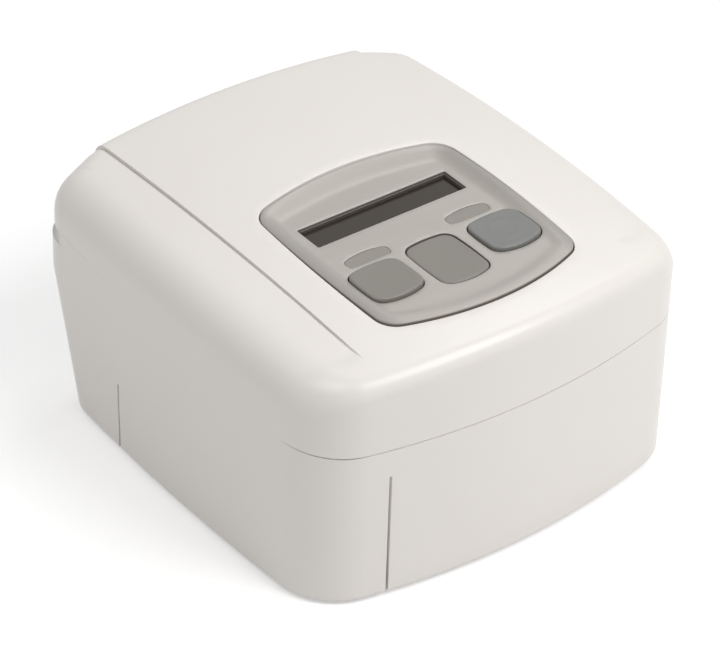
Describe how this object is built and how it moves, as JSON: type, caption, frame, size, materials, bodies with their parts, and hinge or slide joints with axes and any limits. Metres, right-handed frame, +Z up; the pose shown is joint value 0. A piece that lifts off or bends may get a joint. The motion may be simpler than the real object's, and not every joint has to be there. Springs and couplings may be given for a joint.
{
  "type": "cpap machine",
  "caption": "Bedside CPAP airway-pressure machine: crowned white case with a dished silver keypad, keys and display, and a rear recess with air outlet, filter and ports.",
  "frame": {"origin": "on the surface the feet stand on, under the middle of the case", "axes": "+Z up; +Y from the front wall with the keypad towards the rear ports; +X to the right seen from the front"},
  "size_m": [0.166, 0.1779, 0.0984],
  "materials": {
    "case_white": "satin",
    "keypad_silver": "gloss",
    "key_grey": "satin",
    "lens_smoke": "gloss",
    "display_green": "gloss",
    "rubber_dark": "matte",
    "silicone_grey": "matte",
    "port_grey": "satin",
    "socket_black": "matte",
    "blower_grey": "satin",
    "foam_dark": "matte",
    "board_green": "satin",
    "chip_black": "matte",
    "cable_black": "matte",
    "ribbon_white": "matte",
    "steel": "satin",
    "nickel": "gloss",
    "copper": "satin",
    "aluminium": "satin",
    "magnet_grey": "matte"
  },
  "bodies": {
    "case": {"top_housing": "case_white", "bottom_housing": "case_white", "keypad_plate": "keypad_silver", "left_indicator_lens": "key_grey", "right_indicator_lens": "key_grey", "display_lens": "lens_smoke", "display_module": "display_green", "keypad_mat": "silicone_grey", "control_board": "board_green", "main_board": "board_green", "power_board": "board_green", "control_screws": "steel", "main_screws": "steel", "power_screws": "steel", "case_screws": "steel", "main_chips": "chip_black", "beeper": "chip_black", "pressure_sensor": "chip_black", "transformer": "chip_black", "power_capacitors": "aluminium", "heat_sink": "aluminium", "ribbon_sockets": "ribbon_white", "display_ribbon": "ribbon_white", "blower_base": "blower_grey", "blower_cover": "blower_grey", "motor_plate": "aluminium", "lower_bearing": "nickel", "upper_bearing": "nickel", "motor_stator": "steel", "motor_coils": "copper", "blower_mounts": "rubber_dark", "inner_hose": "silicone_grey", "pressure_tube": "silicone_grey", "motor_lead": "cable_black", "mains_leads": "cable_black", "inlet_muffler": "blower_grey", "muffler_foam": "foam_dark", "port_plate": "port_grey", "air_outlet": "port_grey", "mains_inlet": "socket_black", "mains_pins": "nickel", "power_jack": "socket_black", "jack_pin": "nickel", "data_socket": "socket_black", "rubber_feet": "rubber_dark"},
    "left_key": {"left_key": "key_grey"},
    "middle_key": {"middle_key": "key_grey"},
    "right_key": {"right_key": "key_grey"},
    "blower_rotor": {"impeller": "blower_grey", "motor_shaft": "steel", "rotor_magnet": "magnet_grey"},
    "filter_drawer": {"filter_cover": "port_grey", "filter_foam": "foam_dark"},
    "data_cap": {"data_cap": "rubber_dark"}
  },
  "joints": [
    {"name": "left_key_press", "type": "slide", "parent": "case", "child": "left_key", "axis": [0, 0, -1], "range_m": [0, 0.0009], "stiffness_N_per_m": 700, "springref_m": -0.0005},
    {"name": "middle_key_press", "type": "slide", "parent": "case", "child": "middle_key", "axis": [0, 0, -1], "range_m": [0, 0.0009], "stiffness_N_per_m": 700, "springref_m": -0.0005},
    {"name": "right_key_press", "type": "slide", "parent": "case", "child": "right_key", "axis": [0, 0, -1], "range_m": [0, 0.0009], "stiffness_N_per_m": 700, "springref_m": -0.0005},
    {"name": "blower_spin", "type": "hinge", "parent": "case", "child": "blower_rotor", "pos_m": [-0.015, -0.01095, 0.032], "axis": [0, 0, 1], "continuous": true},
    {"name": "filter_pull", "type": "slide", "parent": "case", "child": "filter_drawer", "axis": [0, 1, 0], "range_m": [0, 0.014]},
    {"name": "data_cap_swing", "type": "hinge", "parent": "case", "child": "data_cap", "pos_m": [0.057, 0.06775, 0.044], "axis": [0, 0, -1], "range_deg": [0, 90]}
  ]
}
